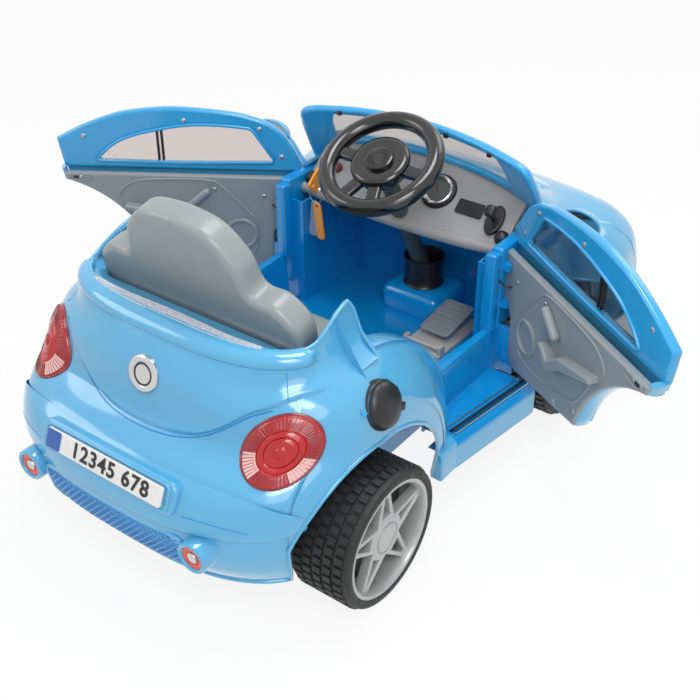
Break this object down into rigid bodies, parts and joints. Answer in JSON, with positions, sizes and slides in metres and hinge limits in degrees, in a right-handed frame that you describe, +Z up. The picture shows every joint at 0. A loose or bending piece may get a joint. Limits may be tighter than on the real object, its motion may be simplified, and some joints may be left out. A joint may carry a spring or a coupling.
{
  "type": "electric ride-on car",
  "caption": "Child's electric ride-on car with hinged doors, steered front wheels, pedal, moulded seat, dashboard controls and raked windshield.",
  "frame": {"origin": "on the ground under the middle of the car with both doors open", "axes": "+Y forward, +X to the car's right, +Z up"},
  "size_m": [1.1904, 1.102, 0.5436],
  "materials": {
    "body_blue": "glossy moulded polypropylene, light sky blue",
    "cabin_blue": "glossy moulded polypropylene, deeper blue",
    "smoke_clear": "smoky clear sheet",
    "dash_grey": "satin warm grey",
    "panel_grey": "satin grey",
    "seat_grey": "satin grey blow-moulded",
    "black_plastic": "satin black",
    "black_rubber": "soft black",
    "plated_silver": "bright plated plastic",
    "white_plastic": "white with a plain band",
    "lamp_red": "red lens with moulded rings",
    "lamp_clear": "clear lens",
    "mirror_film": "bright reflective face",
    "orange_plastic": "orange moulded plastic",
    "steel": "plain zinc-plated steel",
    "battery_case": "black case",
    "cord_black": "braided black cord",
    "tyre_black": "black block-tread plastic tyre",
    "rim_silver": "silver sprayed plastic"
  },
  "bodies": {
    "body": {"chassis_tub": "cabin_blue", "rear_body_shell": "body_blue", "front_body_shell": "body_blue", "windshield_frame": "body_blue", "windshield_pane": "smoke_clear", "dashboard": "dash_grey", "gauge": "plated_silver", "dash_badge": "black_plastic", "shifter_base": "black_plastic", "ignition_lock": "plated_silver", "seat": "seat_grey", "rear_window_insert": "plated_silver", "emblem_disc": "plated_silver", "number_plate": "white_plastic", "tail_lamps": "lamp_red", "headlamps": "lamp_clear", "front_grille": "black_plastic", "exhaust_tips": "body_blue", "exhaust_inserts": "orange_plastic", "mirror_housings": "body_blue", "mirror_glasses": "mirror_film", "steering_boot": "black_rubber", "pedal_base": "panel_grey", "rear_axle": "steel", "gearbox_housing": "black_plastic", "drive_motor": "steel", "battery": "battery_case", "front_beam": "steel", "fuel_filler": "black_plastic", "door_hinge_pins": "steel", "sill_trim": "black_plastic", "check_cord_left": "cord_black", "check_cord_right": "cord_black"},
    "door_left": {"door_outer_left": "body_blue", "door_panel_left": "panel_grey", "door_window_left": "smoke_clear", "door_screws_left": "steel"},
    "door_right": {"door_outer_right": "body_blue", "door_panel_right": "panel_grey", "door_window_right": "smoke_clear", "door_screws_right": "steel"},
    "steering": {"steering_wheel": "black_plastic", "steering_column": "steel"},
    "horn": {"horn_button": "black_plastic"},
    "knuckle_left": {"knuckle_left": "steel"},
    "knuckle_right": {"knuckle_right": "steel"},
    "tie_rod": {"tie_rod": "steel"},
    "wheel_rear_right": {"tyre_rear_right": "tyre_black", "rim_rear_right": "rim_silver"},
    "wheel_rear_left": {"tyre_rear_left": "tyre_black", "rim_rear_left": "rim_silver"},
    "wheel_front_right": {"tyre_front_right": "tyre_black", "rim_front_right": "rim_silver"},
    "wheel_front_left": {"tyre_front_left": "tyre_black", "rim_front_left": "rim_silver"},
    "pedal": {"pedal": "panel_grey"},
    "gear_lever": {"gear_lever": "black_plastic"},
    "key": {"ignition_key": "orange_plastic"},
    "key_tags": {"key_tags": "orange_plastic"},
    "fuel_cap": {"fuel_cap": "black_plastic"}
  },
  "joints": [
    {"name": "door_right_hinge", "type": "hinge", "parent": "body", "child": "door_right", "pos_m": [0.243, 0.126, 0.28], "axis": [0, 0, 1], "range_deg": [-56, 0], "deforming": ["check_cord_right"]},
    {"name": "door_left_hinge", "type": "hinge", "parent": "body", "child": "door_left", "pos_m": [-0.243, 0.126, 0.28], "axis": [0, 0, 1], "range_deg": [0, 56], "deforming": ["check_cord_left"]},
    {"name": "steering_turn", "type": "hinge", "parent": "body", "child": "steering", "pos_m": [0, 0.095, 0.437], "axis": [0, -0.4848, 0.8746], "range_deg": [-35, 35]},
    {"name": "horn_press", "type": "slide", "parent": "steering", "child": "horn", "axis": [0, -0.4848, 0.8746], "range_m": [-0.003, 0], "stiffness_N_per_m": 300, "springref_m": 0.002},
    {"name": "knuckle_right_turn", "type": "hinge", "parent": "body", "child": "knuckle_right", "pos_m": [0.236, 0.236, 0.109], "axis": [0, 0, 1], "range_deg": [-14.5, 14.5]},
    {"name": "knuckle_left_turn", "type": "hinge", "parent": "body", "child": "knuckle_left", "pos_m": [-0.236, 0.236, 0.109], "axis": [0, 0, 1], "range_deg": [-14.5, 14.5]},
    {"name": "tie_rod_slide", "type": "slide", "parent": "body", "child": "tie_rod", "axis": [1, 0, 0], "range_m": [-0.015, 0.015]},
    {"name": "wheel_rear_right_spin", "type": "hinge", "parent": "body", "child": "wheel_rear_right", "pos_m": [0.273, -0.326, 0.109], "axis": [1, 0, 0], "continuous": true},
    {"name": "wheel_rear_left_spin", "type": "hinge", "parent": "body", "child": "wheel_rear_left", "pos_m": [-0.273, -0.326, 0.109], "axis": [1, 0, 0], "continuous": true},
    {"name": "wheel_front_right_spin", "type": "hinge", "parent": "knuckle_right", "child": "wheel_front_right", "pos_m": [0.273, 0.236, 0.109], "axis": [1, 0, 0], "continuous": true},
    {"name": "wheel_front_left_spin", "type": "hinge", "parent": "knuckle_left", "child": "wheel_front_left", "pos_m": [-0.273, 0.236, 0.109], "axis": [1, 0, 0], "continuous": true},
    {"name": "pedal_press", "type": "hinge", "parent": "body", "child": "pedal", "pos_m": [0.09, 0.106, 0.116], "axis": [1, 0, 0], "range_deg": [-7, 0], "stiffness_Nm_per_rad": 1, "springref_deg": 14.32},
    {"name": "gear_select", "type": "hinge", "parent": "body", "child": "gear_lever", "pos_m": [0.172, 0.1761, 0.3532], "axis": [1, 0, 0], "range_deg": [-18, 18]},
    {"name": "key_turn", "type": "hinge", "parent": "body", "child": "key", "pos_m": [-0.165, 0.15277, 0.32494], "axis": [0, -0.6388, 0.7694], "range_deg": [0, 35]},
    {"name": "tag_swing", "type": "hinge", "parent": "key", "child": "key_tags", "pos_m": [-0.165, 0.13076, 0.33267], "axis": [1, 0, 0], "range_deg": [-15, 2]},
    {"name": "fuel_cap_hinge", "type": "hinge", "parent": "body", "child": "fuel_cap", "pos_m": [0.289, -0.2606, 0.2863], "axis": [-0.2944, 0.4999, 0.8145], "range_deg": [0, 85]}
  ],
  "couplings": [
    {"joint": "knuckle_right_turn", "follows": "steering_turn", "ratio": 0.4},
    {"joint": "knuckle_left_turn", "follows": "steering_turn", "ratio": 0.4},
    {"joint": "tie_rod_slide", "follows": "steering_turn", "m_per_rad": 0.02374}
  ]
}
